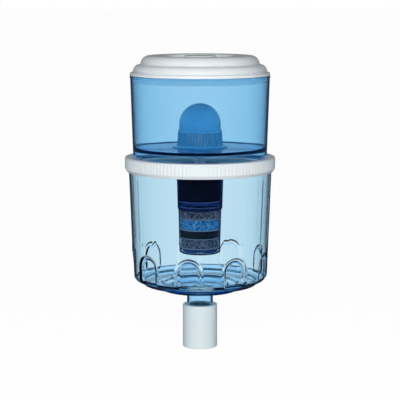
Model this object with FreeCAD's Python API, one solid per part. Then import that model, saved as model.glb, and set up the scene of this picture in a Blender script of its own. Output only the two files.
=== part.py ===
"""Gravity water filter bottle for the top of a water dispenser, in millimetres, +Z up.

The origin is the centre of the outlet sleeve's open bottom end. Water is poured in under the lid, seeps through
the ceramic dome, runs down through the cartridge into the lower tank, and leaves by the neck's spring valve.
Azimuths are in degrees, from the front (-Y) towards the right (+X).
"""

import FreeCAD
import Part

import math
import os

Vector = FreeCAD.Vector
UP = Vector(0, 0, 1)
CENTRE = Vector(0, 0, 0)

# Outlet sleeve and the neck inside it
SLEEVE_RADIUS = 27.5
SLEEVE_TOP = 69.0
SLEEVE_WALL = 2.5
NECK_RADIUS = 20.75
NECK_BORE = 17.55
NECK_END = 30.0
SNAP_BEAD_Z = 39.7
SNAP_BEAD_HEIGHT = 0.6

# Probe valve in the sleeve
PROBE_BORE = 12.0
PROBE_TUBE_RADIUS = 14.5
PROBE_TUBE_BOTTOM = 4.0
SHELF_BOTTOM = 26.0
SHELF_TOP = 28.4
HUB_BORE = 20.9
HUB_RADIUS = 23.3
HUB_TOP = 62.0
RIB_COUNT = 4
RIB_AZIMUTH = 45
RIB_WIDTH = 1.8
SEAL_RADIUS = 15.2
SEAL_THICKNESS = 1.2
PLUNGER_DISC = 2.6
BOSS_RADIUS = 11.0
STEM_RADIUS = 3.0
STEM_TOP = 52.0
CAGE_HUB_BOTTOM = 48.0
CAGE_HUB_RADIUS = 6.5
CAGE_RADIUS = 17.45
CAGE_WALL = 1.7
SPRING_RADIUS = 5.1
SPRING_WIRE = 0.9
SPRING_TURNS = 6
SPRING_STEPS = 16

# Lower tank: a tapered wall over a bottom with two steps
TANK_WALL = 3.2
TANK_RIM_Z = 296.0
TANK_RIM_RADIUS = 113.7
TANK_TAPER = 0.0377
TANK_BOTTOM_Z = 107.5
FOOT_RADIUS = 91.0
FOOT_Z = 102.0
DISH_RADIUS = 61.0
DISH_Z = 92.6
WEIR_RADIUS = 44.0

# Nine flutes in the lower tank, each with an arched alcove at its foot
ALCOVE_COUNT = 9
ALCOVE_AZIMUTH = -9.5
FLUTE_WIDTH = 18.0
FLUTE_HOLLOW = 200.0
FLUTE_DEPTH = 0.57
FLUTE_TOP = 290.0
ARCH_TOP = 157.6
ARCH_SPRING = 149.0
ARCH_HALF_WIDTH = 20.4
ALCOVE_BOTTOM = 111.0
ALCOVE_DEPTH_TOP = 0.9
ALCOVE_DEPTH_BOTTOM = 2.1

# Support ring between the tanks
RING_RADIUS = 119.0
RING_BOTTOM = 283.0
RING_CHAMFER_TOP = 288.4
RING_TOP = 306.6
RING_LEDGE_BORE = 99.5
KNURL_COUNT = 120
KNURL_DEPTH = 0.75
KNURL_TOOL = 2.0
KNURL_BOTTOM = 290.6
KNURL_TOP = 302.6

# Upper tank
UPPER_WALL = 2.8
UPPER_BOTTOM = 300.0
UPPER_FLOOR = 321.0
UPPER_FLOOR_THICKNESS = 3.0
UPPER_RIM = 434.6
UPPER_TAPER = 0.0332
UPPER_FLOOR_RADIUS = 106.27
FLOOR_HOLE = 9.4

# Lid: two rounded steps, a finger recess and a knob flush with the top
LID_WALL = 2.4
LID_FLANGE_RADIUS = 110.2
LID_FLANGE_TOP = 439.4
LID_STEP_RADIUS = 105.4
LID_STEP_Z = 452.2
LID_TOP_RADIUS = 93.6
LID_TOP = 466.0
LID_RECESS_RADIUS = 55.5
LID_RECESS_Z = 452.6
KNOB_TOP_RADIUS = 25.0
KNOB_FOOT_RADIUS = 31.0
LID_SKIRT_BOTTOM = 424.0

# Ceramic filter in the upper tank
COVER_RADIUS = 32.7
COVER_TOP = 391.0
COVER_WALL = 2.0
COLLAR_TOP = 349.0
COLLAR_TOP_RADIUS = 34.5
COLLAR_FOOT_RADIUS = 36.2
COVER_FLANGE_RADIUS = 43.8
COVER_FLANGE = 2.2
SLOT_COUNT = 48
SLOT_WIDTH = 2.2
SLOT_BOTTOM = 326.0
SLOT_TOP = 345.5
CERAMIC_RADIUS = 29.5
CERAMIC_WALL = 7.0
CERAMIC_TOP = 387.0
BASE_BOTTOM = 323.0
BASE_TOP = 328.0
BASE_RADIUS = 31.5
STEM_PIPE_RADIUS = 9.0
STEM_PIPE_BORE = 5.5
STEM_PIPE_END = 281.0
NUT_BOTTOM = 308.5
NUT_TOP = 316.2
NUT_CORNERS = 19.0

# Cartridge: carbon housing above, mineral cup below
HOUSING_TOP = 296.0
HOUSING_TOP_RADIUS = 37.6
HOUSING_BOTTOM = 223.5
HOUSING_BOTTOM_RADIUS = 35.6
HOUSING_WALL = 2.2
SOCKET_RADIUS = 12.0
CARBON_TOP = 274.5
CARBON_BOTTOM = 237.0
PAD = 1.5
GRID = 2.0
CUP_TOP = 232.0
CUP_SHOULDER = 223.1
CUP_TOP_RADIUS = 33.9
CUP_BOTTOM = 152.3
CUP_BOTTOM_RADIUS = 32.0
CUP_WALL = 2.0
CUP_COLLAR_RADIUS = 33.1
CUP_FLOOR = 2.2
GROOVE_BOTTOM = 226.6
GROOVE_TOP = 229.0
GROOVE_DEPTH = 0.9
ORING_RADIUS = 1.0
LEDGE_BORE = 31.6
GAP = 0.15

# Tops of the mineral cup's layers, from the top down, each lying on a felt of its own
THIN_PAD = 1.0
SAND_TOP = 221.9
BALLS_TOP = 208.2
FINE_CARBON_TOP = 190.4
STONES_TOP = 176.9
LAYERS_END = 161.3


def outline(corners):
    """Closed wire in the XZ plane through (radius, height) corners. A third value rounds that corner."""
    points = [Vector(c[0], 0, c[1]) for c in corners]
    roundings = [c[2] if len(c) > 2 else 0 for c in corners]
    arcs, starts, ends = [], [], []
    for i, corner in enumerate(points):
        back = (points[i - 1] - corner).normalize()
        ahead = (points[(i + 1) % len(points)] - corner).normalize()
        half_angle = back.getAngle(ahead) / 2
        reach = roundings[i] / math.tan(half_angle)
        starts.append(corner + back * reach)
        ends.append(corner + ahead * reach)
        if roundings[i]:
            inwards = (back + ahead).normalize()
            middle = corner + inwards * (roundings[i] / math.sin(half_angle) - roundings[i])
            arcs.append(Part.Arc(starts[i], middle, ends[i]).toShape())
        else:
            arcs.append(None)
    edges = []
    for i, arc in enumerate(arcs):
        if arc:
            edges.append(arc)
        following = starts[(i + 1) % len(points)]
        if ends[i].distanceToPoint(following) > 1e-6:
            edges.append(Part.makeLine(ends[i], following))
    return Part.Wire(edges)


def turned(corners):
    """Solid of revolution about the Z axis."""
    return Part.Face(outline(corners)).revolve(CENTRE, UP, 360)


def tube(outer, inner, bottom, top):
    """Plain ring or washer."""
    return turned([(inner, bottom), (outer, bottom), (outer, top), (inner, top)])


def spun(shape, degrees):
    """A copy turned about the Z axis, to an azimuth from the front."""
    copy = shape.copy()
    copy.rotate(CENTRE, UP, degrees)
    return copy


def around(shape, count, first=0.0):
    """Copies of one shape, evenly spaced about the Z axis."""
    return [spun(shape, first + 360.0 * i / count) for i in range(count)]


def radial_box(inner, outer, width, bottom, top):
    """Box that points at the front, between two radii."""
    corner = Vector(-width / 2, -outer, bottom)
    return Part.makeBox(width, outer - inner, top - bottom, corner)


def holes(radius, spacing, reach, bottom, top):
    """Upright round holes in rings of six more each, out to a reach."""
    made = [Part.makeCylinder(radius, top - bottom, Vector(0, 0, bottom))]
    for ring in range(1, int(reach / spacing) + 1):
        hole = Part.makeCylinder(radius, top - bottom, Vector(0, -ring * spacing, bottom))
        made += around(hole, 6 * ring)
    return made


def tank_radius(z):
    return TANK_RIM_RADIUS - (TANK_RIM_Z - z) * TANK_TAPER


def upper_radius(z):
    return UPPER_FLOOR_RADIUS + (z - UPPER_FLOOR) * UPPER_TAPER


def cup_inner_radius(z):
    share = (z - CUP_BOTTOM) / (CUP_SHOULDER - CUP_BOTTOM)
    return CUP_BOTTOM_RADIUS + share * (CUP_TOP_RADIUS - CUP_BOTTOM_RADIUS) - CUP_WALL


def housing_inner_radius(z):
    share = (z - HOUSING_BOTTOM) / (HOUSING_TOP - HOUSING_BOTTOM)
    return HOUSING_BOTTOM_RADIUS + share * (HOUSING_TOP_RADIUS - HOUSING_BOTTOM_RADIUS) - HOUSING_WALL


def outlet_sleeve():
    skirt_bore = SLEEVE_RADIUS - SLEEVE_WALL
    return turned([
        (SLEEVE_RADIUS, 0, 1.9),
        (SLEEVE_RADIUS, SLEEVE_TOP, 1.2),
        (NECK_RADIUS + 0.3, SLEEVE_TOP, 0.5),
        (NECK_RADIUS + 0.3, SLEEVE_TOP - SLEEVE_WALL),
        (skirt_bore, SLEEVE_TOP - SLEEVE_WALL, 1.0),
        (skirt_bore, 0, 0.5),
    ])


def valve_body():
    """Hub clipped on the neck, a shelf that the valve seats on, and the probe's guide tube below."""
    groove = HUB_BORE + SNAP_BEAD_HEIGHT
    body = turned([
        (PROBE_BORE, PROBE_TUBE_BOTTOM),
        (PROBE_TUBE_RADIUS, PROBE_TUBE_BOTTOM, 0.6),
        (PROBE_TUBE_RADIUS, SHELF_BOTTOM, 1.0),
        (HUB_RADIUS, SHELF_BOTTOM, 1.0),
        (HUB_RADIUS, HUB_TOP, 0.6),
        (HUB_BORE, HUB_TOP, 0.6),
        (HUB_BORE, SNAP_BEAD_Z + 2.2),
        (groove, SNAP_BEAD_Z + 1.2),
        (groove, SNAP_BEAD_Z - 1.2),
        (HUB_BORE, SNAP_BEAD_Z - 2.2),
        (HUB_BORE, SHELF_TOP),
        (PROBE_BORE, SHELF_TOP),
    ])
    skirt_bore = SLEEVE_RADIUS - SLEEVE_WALL
    low_rib = radial_box(PROBE_TUBE_RADIUS - 0.5, skirt_bore, RIB_WIDTH, 7, SHELF_BOTTOM + 0.5)
    high_rib = radial_box(HUB_RADIUS - 0.5, skirt_bore, RIB_WIDTH, SHELF_BOTTOM + 0.5, HUB_TOP - 2)
    ribs = around(low_rib.fuse(high_rib).removeSplitter(), RIB_COUNT, RIB_AZIMUTH)
    inside = Part.makeCylinder(skirt_bore - 0.05, HUB_TOP)
    return body.fuse([rib.common(inside) for rib in ribs]).removeSplitter()


def neck_washer():
    return tube(NECK_RADIUS - 0.05, NECK_BORE + 0.05, SHELF_TOP, NECK_END)


def valve_cage():
    """Base ring on the shelf, four legs, and a spider that guides the plunger's stem."""
    leg_bore = CAGE_RADIUS - CAGE_WALL
    foot = tube(CAGE_RADIUS, leg_bore, SHELF_TOP, SHELF_TOP + 2.4)
    crown = tube(CAGE_RADIUS, leg_bore, CAGE_HUB_BOTTOM + 2, CAGE_HUB_BOTTOM + 5)
    hub = tube(CAGE_HUB_RADIUS, STEM_RADIUS + 0.08, CAGE_HUB_BOTTOM, CAGE_HUB_BOTTOM + 6)
    wall = tube(CAGE_RADIUS, leg_bore, SHELF_TOP + 1, CAGE_HUB_BOTTOM + 4)
    leg = radial_box(leg_bore - 2, CAGE_RADIUS + 2, 6.0, SHELF_TOP + 1, CAGE_HUB_BOTTOM + 4).common(wall)
    spoke = radial_box(CAGE_HUB_RADIUS - 0.5, leg_bore + 0.8, 2.4, CAGE_HUB_BOTTOM + 2, CAGE_HUB_BOTTOM + 5)
    return foot.fuse([crown, hub] + around(leg, 4) + around(spoke, 4)).removeSplitter()


def valve_seal():
    return tube(SEAL_RADIUS, BOSS_RADIUS + 0.1, SHELF_TOP, SHELF_TOP + SEAL_THICKNESS)


def valve_plunger():
    """Disc over the seat, a boss through the seal that the probe pushes, and a guided stem."""
    disc = SHELF_TOP + SEAL_THICKNESS
    disc_top = disc + PLUNGER_DISC
    return turned([
        (0, SHELF_TOP + 0.1),
        (BOSS_RADIUS, SHELF_TOP + 0.1, 0.4),
        (BOSS_RADIUS, disc),
        (SEAL_RADIUS, disc),
        (SEAL_RADIUS, disc_top, 0.8),
        (STEM_RADIUS, disc_top),
        (STEM_RADIUS, STEM_TOP, 0.8),
        (0, STEM_TOP),
    ])


def valve_spring():
    """Open coil round the stem, from the plunger's disc to the cage's hub."""
    bottom = SHELF_TOP + SEAL_THICKNESS + PLUNGER_DISC + SPRING_WIRE / 2 + 0.05
    height = CAGE_HUB_BOTTOM - SPRING_WIRE / 2 - 0.05 - bottom
    steps = SPRING_TURNS * SPRING_STEPS
    points = []
    for i in range(steps + 1):
        angle = 2 * math.pi * i / SPRING_STEPS
        points.append(Vector(SPRING_RADIUS * math.cos(angle), SPRING_RADIUS * math.sin(angle),
                             bottom + height * i / steps))
    section = Part.Wire(Part.makeCircle(SPRING_WIRE / 2, points[0], points[1] - points[0]))
    mitred = 1
    return Part.makePolygon(points).makePipeShell([section], True, False, mitred)


def alcove_tool():
    """What an arched alcove takes off the tank's wall: deeper towards the foot, and as round as the wall."""
    left, right = Vector(-ARCH_HALF_WIDTH, 0, ARCH_SPRING), Vector(ARCH_HALF_WIDTH, 0, ARCH_SPRING)
    foot_left = Vector(-ARCH_HALF_WIDTH, 0, ALCOVE_BOTTOM)
    foot_right = Vector(ARCH_HALF_WIDTH, 0, ALCOVE_BOTTOM)
    arch = Part.Wire([
        Part.makeLine(foot_right, right),
        Part.Arc(right, Vector(0, 0, ARCH_TOP), left).toShape(),
        Part.makeLine(left, foot_left),
        Part.makeLine(foot_left, foot_right),
    ])
    slab = Part.Face(arch).extrude(Vector(0, -TANK_RIM_RADIUS - 10, 0))
    core = Part.makeCone(
        tank_radius(ALCOVE_BOTTOM) - ALCOVE_DEPTH_BOTTOM,
        tank_radius(ARCH_TOP) - ALCOVE_DEPTH_TOP,
        ARCH_TOP - ALCOVE_BOTTOM,
        Vector(0, 0, ALCOVE_BOTTOM),
    )
    return slab.cut(core)


def flute_tool():
    """A wide upright cylinder that leans with the wall and hollows it by the flute's depth."""
    bottom = (ARCH_TOP + ARCH_SPRING) / 2
    reach = tank_radius(bottom) + FLUTE_HOLLOW - FLUTE_DEPTH
    tool = Part.makeCylinder(FLUTE_HOLLOW, FLUTE_TOP - bottom, Vector(0, -reach, bottom))
    tool.rotate(Vector(0, -reach, bottom), Vector(1, 0, 0), math.degrees(math.atan(TANK_TAPER)))
    return tool


def lower_tank():
    inner_rim = TANK_RIM_RADIUS - TANK_WALL
    floor = TANK_BOTTOM_Z + TANK_WALL
    foot_floor = FOOT_Z + TANK_WALL
    dish_floor = DISH_Z + TANK_WALL
    bead = NECK_RADIUS + SNAP_BEAD_HEIGHT
    shell = turned([
        (NECK_RADIUS, NECK_END, 0.5),
        (NECK_RADIUS, SNAP_BEAD_Z - 2),
        (bead, SNAP_BEAD_Z - 1),
        (bead, SNAP_BEAD_Z + 1),
        (NECK_RADIUS, SNAP_BEAD_Z + 2),
        (NECK_RADIUS, DISH_Z, 4),
        (DISH_RADIUS, DISH_Z, 3),
        (DISH_RADIUS, FOOT_Z, 2),
        (FOOT_RADIUS, FOOT_Z, 3.5),
        (FOOT_RADIUS, TANK_BOTTOM_Z, 1.2),
        (tank_radius(TANK_BOTTOM_Z), TANK_BOTTOM_Z, 13.5),
        (TANK_RIM_RADIUS, TANK_RIM_Z, 0.8),
        (inner_rim, TANK_RIM_Z, 0.8),
        (tank_radius(floor) - TANK_WALL, floor, 10.3),
        (FOOT_RADIUS - TANK_WALL, floor, 2),
        (FOOT_RADIUS - TANK_WALL, foot_floor, 2),
        (DISH_RADIUS - TANK_WALL, foot_floor, 3),
        (DISH_RADIUS - TANK_WALL, dish_floor, 2),
        (WEIR_RADIUS + 1.5, dish_floor, 1),
        (WEIR_RADIUS + 1.1, foot_floor - 1, 0.9),
        (WEIR_RADIUS - 1.1, foot_floor - 1, 0.9),
        (WEIR_RADIUS - 1.5, dish_floor, 1),
        (NECK_BORE, dish_floor, 4),
        (NECK_BORE, NECK_END, 0.5),
    ])
    weir_gap = radial_box(WEIR_RADIUS - 3, WEIR_RADIUS + 3, 9, dish_floor, foot_floor)
    tools = around(alcove_tool(), ALCOVE_COUNT, ALCOVE_AZIMUTH)
    tools += around(flute_tool(), ALCOVE_COUNT, ALCOVE_AZIMUTH)
    tools += around(weir_gap, 3, 60)
    return shell.cut(tools)


def support_ring():
    """Sits on the lower tank's rim and carries the upper tank on its inner ledge."""
    collar = upper_radius(RING_TOP) + 0.5
    skirt_bore = TANK_RIM_RADIUS + 0.4
    ring = turned([
        (skirt_bore, RING_BOTTOM, 0.3),
        (skirt_bore + 0.9, RING_BOTTOM, 0.3),
        (RING_RADIUS, RING_CHAMFER_TOP, 1.5),
        (RING_RADIUS, RING_TOP, 2.2),
        (collar, RING_TOP, 0.8),
        (collar, UPPER_BOTTOM - 0.2, 0.4),
        (RING_LEDGE_BORE, UPPER_BOTTOM - 0.2, 0.8),
        (RING_LEDGE_BORE, TANK_RIM_Z + 0.2, 0.8),
        (skirt_bore, TANK_RIM_Z + 0.2, 0.4),
    ])
    centre = Vector(0, -(RING_RADIUS + KNURL_TOOL - KNURL_DEPTH), KNURL_BOTTOM)
    groove = Part.makeCylinder(KNURL_TOOL, KNURL_TOP - KNURL_BOTTOM, centre)
    ends = [Part.makeSphere(KNURL_TOOL, centre + Vector(0, 0, z)) for z in (0, KNURL_TOP - KNURL_BOTTOM)]
    return ring.cut(around(groove.fuse(ends).removeSplitter(), KNURL_COUNT, 1.5))


def upper_tank():
    """Straight tapered tub. Its wall runs on below the floor, as the foot that the ring carries."""
    under_floor = UPPER_FLOOR - UPPER_FLOOR_THICKNESS
    bead = upper_radius(UPPER_RIM) + 0.6
    bead_bottom = UPPER_RIM - 4.2
    return turned([
        (upper_radius(UPPER_BOTTOM), UPPER_BOTTOM, 0.6),
        (upper_radius(bead_bottom), bead_bottom, 0.5),
        (bead, bead_bottom + 0.9, 0.5),
        (bead, UPPER_RIM, 0.9),
        (upper_radius(UPPER_RIM) - UPPER_WALL, UPPER_RIM, 0.9),
        (upper_radius(UPPER_FLOOR) - UPPER_WALL, UPPER_FLOOR, 3),
        (FLOOR_HOLE, UPPER_FLOOR),
        (FLOOR_HOLE, under_floor),
        (upper_radius(under_floor) - UPPER_WALL, under_floor, 2),
        (upper_radius(UPPER_BOTTOM) - UPPER_WALL, UPPER_BOTTOM, 0.6),
    ])


def lid():
    under = LID_WALL
    seat = UPPER_RIM + 0.1
    skirt = upper_radius(LID_SKIRT_BOTTOM) - UPPER_WALL - 0.7
    return turned([
        (0, LID_TOP - 0.8),
        (KNOB_TOP_RADIUS, LID_TOP, 3),
        (KNOB_FOOT_RADIUS, LID_RECESS_Z, 3),
        (LID_RECESS_RADIUS - 2, LID_RECESS_Z, 3),
        (LID_RECESS_RADIUS, LID_TOP - 0.6, 2.5),
        (72, LID_TOP, 30),
        (LID_TOP_RADIUS, LID_TOP - 0.3, 13),
        (LID_TOP_RADIUS, LID_STEP_Z, 1.2),
        (LID_STEP_RADIUS, LID_STEP_Z - 0.3, 10.8),
        (LID_STEP_RADIUS, LID_FLANGE_TOP + 0.4, 0.8),
        (LID_FLANGE_RADIUS, LID_FLANGE_TOP, 1.0),
        (LID_FLANGE_RADIUS, seat, 0.6),
        (skirt, seat, 0.3),
        (skirt - 0.6, LID_SKIRT_BOTTOM, 0.8),
        (skirt - under, LID_SKIRT_BOTTOM, 0.8),
        (LID_STEP_RADIUS - under, LID_STEP_Z - 0.3 - under, 8.6),
        (LID_TOP_RADIUS - under, LID_STEP_Z - 0.3 - under, 2.0),
        (LID_TOP_RADIUS - under, LID_TOP - 0.3 - under, 10.6),
        (LID_RECESS_RADIUS + under, LID_TOP - 0.6 - under, 1.0),
        (LID_RECESS_RADIUS - 2 + under, LID_RECESS_Z - under, 3),
        (KNOB_FOOT_RADIUS - under, LID_RECESS_Z - under, 3),
        (KNOB_TOP_RADIUS - under, LID_TOP - under, 2),
        (0, LID_TOP - 0.8 - under),
    ])


def dome_cover():
    """Clear blue dome with a slotted collar and a foot flange on the tank's floor."""
    bottom = UPPER_FLOOR + 0.1
    flange_top = bottom + COVER_FLANGE
    shell = turned([
        (0, COVER_TOP),
        (COVER_RADIUS, COVER_TOP, COVER_RADIUS),
        (COVER_RADIUS, COLLAR_TOP, 0.4),
        (COLLAR_TOP_RADIUS, COLLAR_TOP, 0.5),
        (COLLAR_FOOT_RADIUS, flange_top, 0.8),
        (COVER_FLANGE_RADIUS, flange_top, 0.8),
        (COVER_FLANGE_RADIUS, bottom, 0.5),
        (COLLAR_FOOT_RADIUS - COVER_WALL, bottom, 0.4),
        (COLLAR_TOP_RADIUS - COVER_WALL, COLLAR_TOP - COVER_WALL, 0.4),
        (COVER_RADIUS - COVER_WALL, COLLAR_TOP - COVER_WALL, 0.4),
        (COVER_RADIUS - COVER_WALL, COVER_TOP - COVER_WALL, COVER_RADIUS - COVER_WALL),
        (0, COVER_TOP - COVER_WALL),
    ])
    slot = radial_box(COLLAR_TOP_RADIUS - 4, COLLAR_FOOT_RADIUS + 3, SLOT_WIDTH, SLOT_BOTTOM, SLOT_TOP)
    return shell.cut(around(slot, SLOT_COUNT))


def ceramic_dome():
    inner = CERAMIC_RADIUS - CERAMIC_WALL
    return turned([
        (0, CERAMIC_TOP),
        (CERAMIC_RADIUS, CERAMIC_TOP, CERAMIC_RADIUS),
        (CERAMIC_RADIUS, BASE_TOP),
        (inner, BASE_TOP),
        (inner, CERAMIC_TOP - CERAMIC_WALL, inner),
        (0, CERAMIC_TOP - CERAMIC_WALL),
    ])


def ceramic_base():
    """Plastic cup glued under the ceramic, with the pipe that goes through the tank's floor."""
    return turned([
        (STEM_PIPE_BORE, BASE_TOP),
        (CERAMIC_RADIUS + 0.1, BASE_TOP),
        (CERAMIC_RADIUS + 0.1, BASE_TOP + 6, 0.4),
        (BASE_RADIUS, BASE_TOP + 6, 0.6),
        (BASE_RADIUS, BASE_BOTTOM, 1.0),
        (STEM_PIPE_RADIUS, BASE_BOTTOM, 0.5),
        (STEM_PIPE_RADIUS, STEM_PIPE_END, 1.0),
        (STEM_PIPE_BORE, STEM_PIPE_END, 0.5),
    ])


def base_washer():
    return tube(26.0, STEM_PIPE_RADIUS + 0.8, UPPER_FLOOR, BASE_BOTTOM)


def head_washer():
    return tube(NUT_CORNERS, STEM_PIPE_RADIUS + 0.2, NUT_TOP, UPPER_FLOOR - UPPER_FLOOR_THICKNESS)


def lock_nut():
    """Hexagon nut that clamps the filter's base to the tank's floor."""
    corners = [Vector(NUT_CORNERS * math.cos(a), NUT_CORNERS * math.sin(a), NUT_BOTTOM)
               for a in (math.pi / 3 * i for i in range(7))]
    prism = Part.Face(Part.makePolygon(corners)).extrude(UP * (NUT_TOP - NUT_BOTTOM))
    rounding = turned([
        (0, NUT_BOTTOM),
        (NUT_CORNERS - 1.4, NUT_BOTTOM),
        (NUT_CORNERS + 0.4, NUT_BOTTOM + 1.5),
        (NUT_CORNERS + 0.4, NUT_TOP),
        (0, NUT_TOP),
    ])
    bore = Part.makeCylinder(STEM_PIPE_RADIUS + 0.08, 20, Vector(0, 0, NUT_BOTTOM - 5))
    return prism.common(rounding).cut(bore)


def cartridge_housing():
    """Tapered carbon chamber. A socket in its top goes on the filter's pipe."""
    wall = HOUSING_WALL
    ledge = CUP_TOP + 0.3
    return turned([
        (STEM_PIPE_RADIUS + 0.1, HOUSING_TOP, 0.4),
        (HOUSING_TOP_RADIUS, HOUSING_TOP, 3),
        (HOUSING_BOTTOM_RADIUS, HOUSING_BOTTOM, 0.8),
        (HOUSING_BOTTOM_RADIUS - wall, HOUSING_BOTTOM, 0.5),
        (housing_inner_radius(ledge), ledge),
        (LEDGE_BORE, ledge),
        (LEDGE_BORE, ledge + 1.2),
        (housing_inner_radius(ledge + 1.2), ledge + 1.2),
        (housing_inner_radius(HOUSING_TOP - wall), HOUSING_TOP - wall, 2),
        (SOCKET_RADIUS, HOUSING_TOP - wall, 1),
        (SOCKET_RADIUS, STEM_PIPE_END - 2.4, 0.6),
        (STEM_PIPE_BORE, STEM_PIPE_END - 2.4),
        (STEM_PIPE_BORE, STEM_PIPE_END - 0.6),
        (STEM_PIPE_RADIUS + 0.1, STEM_PIPE_END - 0.6),
    ])


def in_housing(bottom, top):
    """Plug that fills the carbon chamber between two heights."""
    return turned([
        (0, bottom), (housing_inner_radius(bottom) - GAP, bottom),
        (housing_inner_radius(top) - GAP, top), (0, top),
    ])


def in_cup(bottom, top):
    """Plug that fills the mineral cup between two heights."""
    return turned([
        (0, bottom), (cup_inner_radius(bottom) - GAP, bottom),
        (cup_inner_radius(top) - GAP, top), (0, top),
    ])


def carbon_grid():
    disc = in_housing(CARBON_BOTTOM - PAD - GRID, CARBON_BOTTOM - PAD)
    return disc.cut(holes(1.5, 4.6, 29, CARBON_BOTTOM - PAD - GRID - 1, CARBON_BOTTOM))


def mineral_cup():
    """Tapered cup with a drilled floor. Its collar plugs into the carbon housing."""
    inside = CUP_BOTTOM + CUP_FLOOR
    shell = turned([
        (0, CUP_BOTTOM),
        (CUP_BOTTOM_RADIUS, CUP_BOTTOM, 4),
        (CUP_TOP_RADIUS, CUP_SHOULDER, 0.3),
        (CUP_COLLAR_RADIUS, CUP_SHOULDER),
        (CUP_COLLAR_RADIUS, GROOVE_BOTTOM),
        (CUP_COLLAR_RADIUS - GROOVE_DEPTH, GROOVE_BOTTOM),
        (CUP_COLLAR_RADIUS - GROOVE_DEPTH, GROOVE_TOP),
        (CUP_COLLAR_RADIUS, GROOVE_TOP),
        (CUP_COLLAR_RADIUS - 0.2, CUP_TOP, 0.5),
        (cup_inner_radius(CUP_SHOULDER) - 1.0, CUP_TOP, 0.5),
        (cup_inner_radius(CUP_SHOULDER) - 1.0, 225.0),
        (cup_inner_radius(CUP_SHOULDER - 0.6), CUP_SHOULDER - 0.6),
        (cup_inner_radius(inside), inside, 2.2),
        (0, inside),
    ])
    return shell.cut(holes(1.4, 5.6, 23, CUP_BOTTOM - 1, inside + 1))


def cup_oring():
    """Sealing ring in the collar's groove, drawn just clear of both walls."""
    ring = Part.makeTorus(CUP_COLLAR_RADIUS - 0.8, ORING_RADIUS)
    ring.translate(UP * ((GROOVE_BOTTOM + GROOVE_TOP) / 2))
    inner = CUP_COLLAR_RADIUS - GROOVE_DEPTH + 0.05
    groove_space = tube(CUP_COLLAR_RADIUS + 0.25, inner, GROOVE_BOTTOM + 0.1, GROOVE_TOP - 0.1)
    return ring.common(groove_space)


def cup_grid():
    disc = turned([(0, SAND_TOP + 0.1), (30.6, SAND_TOP + 0.1), (30.6, 224.6, 0.3), (0, 224.6)])
    return disc.cut(holes(1.5, 4.6, 27, SAND_TOP - 1, 226))


def bottom_grid():
    """Drilled plate on a ring foot that holds the layers clear of the cup's drilled floor."""
    plate_bottom = LAYERS_END - GRID - 0.1
    plate = in_cup(plate_bottom, LAYERS_END - 0.1)
    foot = tube(27.0, 25.4, CUP_BOTTOM + CUP_FLOOR, plate_bottom + 0.5)
    notch = radial_box(24, 28, 8, CUP_BOTTOM + CUP_FLOOR - 1, plate_bottom - 2)
    drilled = plate.cut(holes(1.4, 4.8, 23, plate_bottom - 1, LAYERS_END + 1))
    return drilled.fuse(foot.cut(around(notch, 4))).removeSplitter()


def cup_layers():
    """The four layers and their felts, each layer from its top down to its own felt."""
    tops = {"mineral_sand": SAND_TOP, "bio_balls": BALLS_TOP,
            "fine_carbon": FINE_CARBON_TOP, "mineral_stones": STONES_TOP}
    names = list(tops)
    made = {}
    for i, name in enumerate(names):
        floor = tops[names[i + 1]] + 0.1 if i + 1 < len(names) else LAYERS_END
        made[name] = in_cup(floor + THIN_PAD, tops[name])
        made[name + "_felt"] = in_cup(floor, floor + THIN_PAD)
    return made


def all_parts():
    parts = {
        "outlet_sleeve": outlet_sleeve(),
        "valve_body": valve_body(),
        "neck_washer": neck_washer(),
        "valve_cage": valve_cage(),
        "valve_seal": valve_seal(),
        "valve_plunger": valve_plunger(),
        "valve_spring": valve_spring(),
        "lower_tank": lower_tank(),
        "support_ring": support_ring(),
        "upper_tank": upper_tank(),
        "lid": lid(),
        "dome_cover": dome_cover(),
        "ceramic_dome": ceramic_dome(),
        "ceramic_base": ceramic_base(),
        "base_washer": base_washer(),
        "head_washer": head_washer(),
        "lock_nut": lock_nut(),
        "cartridge_housing": cartridge_housing(),
        "carbon_top_felt": in_housing(CARBON_TOP, CARBON_TOP + PAD),
        "carbon_bed": in_housing(CARBON_BOTTOM, CARBON_TOP),
        "carbon_bottom_felt": in_housing(CARBON_BOTTOM - PAD, CARBON_BOTTOM),
        "carbon_grid": carbon_grid(),
        "mineral_cup": mineral_cup(),
        "cup_oring": cup_oring(),
        "cup_grid": cup_grid(),
        "bottom_grid": bottom_grid(),
    }
    parts.update(cup_layers())
    return parts


def main():
    os.makedirs("parts", exist_ok=True)
    for name, shape in all_parts().items():
        print(f"{name:20} valid {shape.isValid()}  solids {len(shape.Solids)}  {shape.Volume / 1000:9.2f} cm3")
        shape.exportStep(f"parts/{name}.step")


main()
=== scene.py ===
"""Looks of the gravity water filter bottle, in metres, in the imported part's frame.

Azimuths run from the front (-Y) towards the right (+X). Lengths written as mm() are millimetres.
"""

import math
import random

import bmesh
import bpy
from mathutils import Matrix, Vector

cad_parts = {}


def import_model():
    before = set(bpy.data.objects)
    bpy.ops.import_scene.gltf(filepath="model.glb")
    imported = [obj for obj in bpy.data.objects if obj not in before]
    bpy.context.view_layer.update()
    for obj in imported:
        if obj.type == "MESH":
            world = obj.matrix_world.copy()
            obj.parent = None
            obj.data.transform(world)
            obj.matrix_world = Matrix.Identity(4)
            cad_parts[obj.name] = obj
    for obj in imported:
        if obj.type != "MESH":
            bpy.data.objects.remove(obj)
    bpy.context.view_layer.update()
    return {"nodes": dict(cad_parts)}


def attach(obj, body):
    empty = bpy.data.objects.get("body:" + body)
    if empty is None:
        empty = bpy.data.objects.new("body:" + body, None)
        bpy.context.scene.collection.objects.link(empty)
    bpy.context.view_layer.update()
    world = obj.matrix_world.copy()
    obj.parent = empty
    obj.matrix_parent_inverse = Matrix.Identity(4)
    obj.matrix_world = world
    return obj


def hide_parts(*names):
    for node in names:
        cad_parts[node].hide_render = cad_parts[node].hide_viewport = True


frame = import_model()

random.seed(7)

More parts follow.
